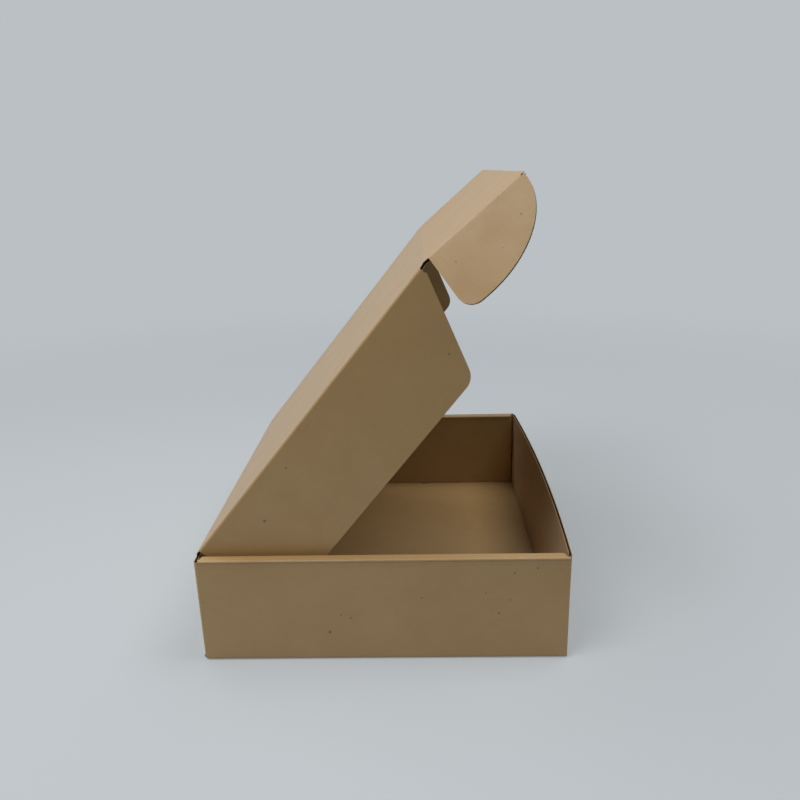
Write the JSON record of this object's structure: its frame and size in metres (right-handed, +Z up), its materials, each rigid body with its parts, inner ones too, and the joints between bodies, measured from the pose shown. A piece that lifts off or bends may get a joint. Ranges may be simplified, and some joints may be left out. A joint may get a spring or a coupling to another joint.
{
  "type": "corrugated mailer box",
  "caption": "Shallow kraft corrugated mailer box with rolled double side walls, a hinged lid with side flaps and a tuck flap with rounded ears.",
  "frame": {"origin": "centre of the tray floor's underside, at the middle of the box's outer length and width", "axes": "+X towards the front, where the tuck flap closes, +Y towards the right-hand side seen from the front, +Z up"},
  "size_m": [0.1949, 0.254, 0.2427],
  "materials": {
    "kraft_board": "matt uncoated kraft liner"
  },
  "bodies": {
    "tray": {"tray": "kraft_board"},
    "lid": {"lid": "kraft_board"},
    "side_flap_left": {"side_flap_left": "kraft_board"},
    "side_flap_right": {"side_flap_right": "kraft_board"},
    "tuck_flap": {"tuck_flap": "kraft_board"},
    "tuck_ear_left": {"tuck_ear_left": "kraft_board"},
    "tuck_ear_right": {"tuck_ear_right": "kraft_board"}
  },
  "joints": [
    {"name": "lid_hinge", "type": "hinge", "parent": "tray", "child": "lid", "pos_m": [-0.0952, 0, 0.0567], "axis": [0, -1, 0], "range_deg": [-44, 129]},
    {"name": "side_flap_left_crease", "type": "hinge", "parent": "lid", "child": "side_flap_left", "pos_m": [-0.09458, -0.1096, 0.0562], "axis": [-0.6293, 0, -0.7771], "range_deg": [-75, 0]},
    {"name": "side_flap_right_crease", "type": "hinge", "parent": "lid", "child": "side_flap_right", "pos_m": [-0.09458, 0.1096, 0.0562], "axis": [0.6293, 0, 0.7771], "range_deg": [-75, 0]},
    {"name": "tuck_flap_crease", "type": "hinge", "parent": "lid", "child": "tuck_flap", "pos_m": [0.02349, 0, 0.20327], "axis": [0, 1, 0], "range_deg": [-10, 80]},
    {"name": "tuck_ear_left_crease", "type": "hinge", "parent": "tuck_flap", "child": "tuck_ear_left", "pos_m": [0.02349, -0.1104, 0.20327], "axis": [-0.7547, 0, -0.6561], "range_deg": [-75, 60]},
    {"name": "tuck_ear_right_crease", "type": "hinge", "parent": "tuck_flap", "child": "tuck_ear_right", "pos_m": [0.02349, 0.1104, 0.20327], "axis": [0.7547, 0, 0.6561], "range_deg": [-75, 60]}
  ]
}
